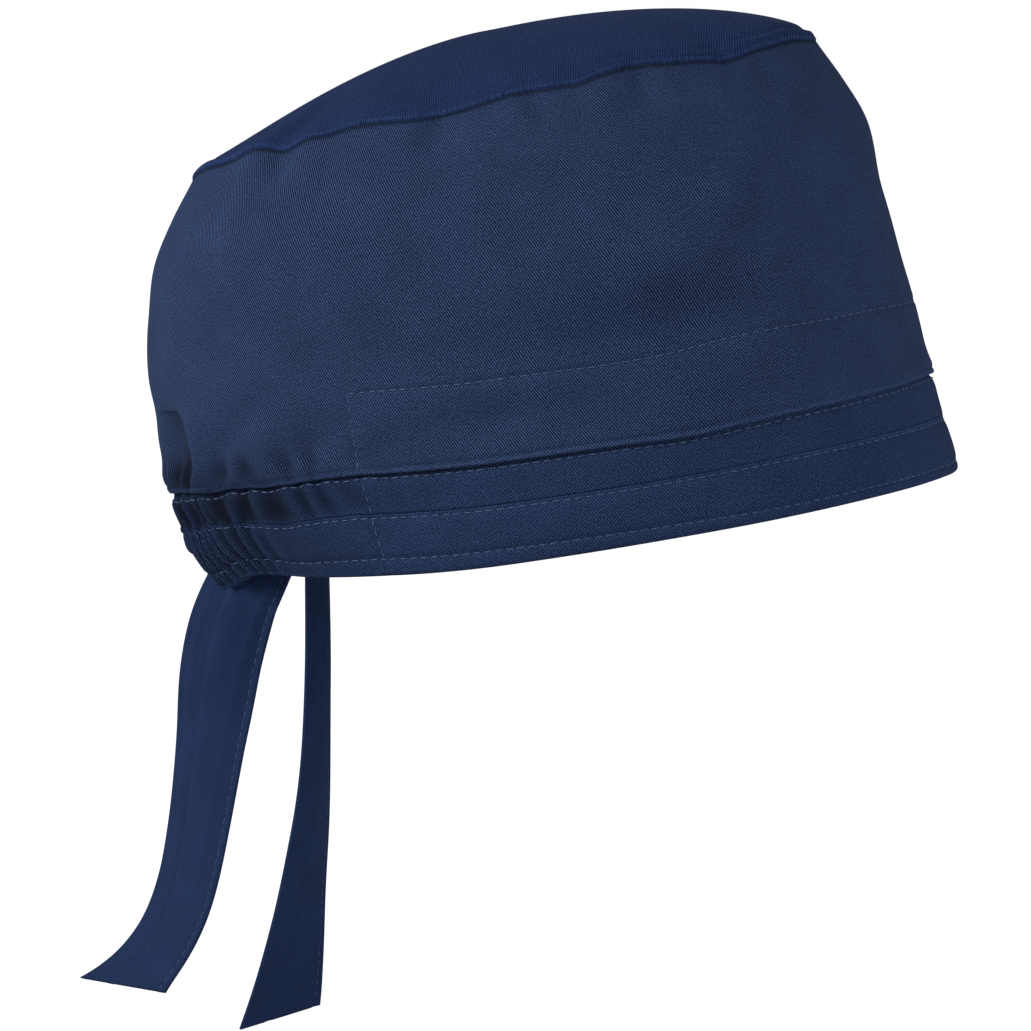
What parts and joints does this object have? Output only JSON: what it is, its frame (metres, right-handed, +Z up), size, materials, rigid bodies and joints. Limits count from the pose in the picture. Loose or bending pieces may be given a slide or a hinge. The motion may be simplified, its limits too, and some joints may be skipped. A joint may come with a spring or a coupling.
{
  "type": "scrub cap",
  "caption": "Tie-back bouffant scrub cap in navy twill: domed top panel, tall wall bloused at the nape, two-strip band and a pair of hanging ties.",
  "frame": {"origin": "middle of the head opening, level with the hem at the cap's sides", "axes": "+X towards the brow, +Y towards the wearer's left, +Z up as worn; the cap is tilted 9.5 degrees brow up and the ties hang along -Z"},
  "size_m": [0.2439, 0.17, 0.2987],
  "materials": {
    "top_panel": "matt navy twill",
    "wall": "matt navy twill",
    "band": "matt navy twill, topstitched",
    "tie": "matt navy twill tape"
  },
  "bodies": {
    "root": {"crown_top": "top_panel", "side_wall": "wall", "band_strip": "band", "tie_channel": "band", "tie_right": "tie", "tie_left": "tie"}
  },
  "joints": []
}
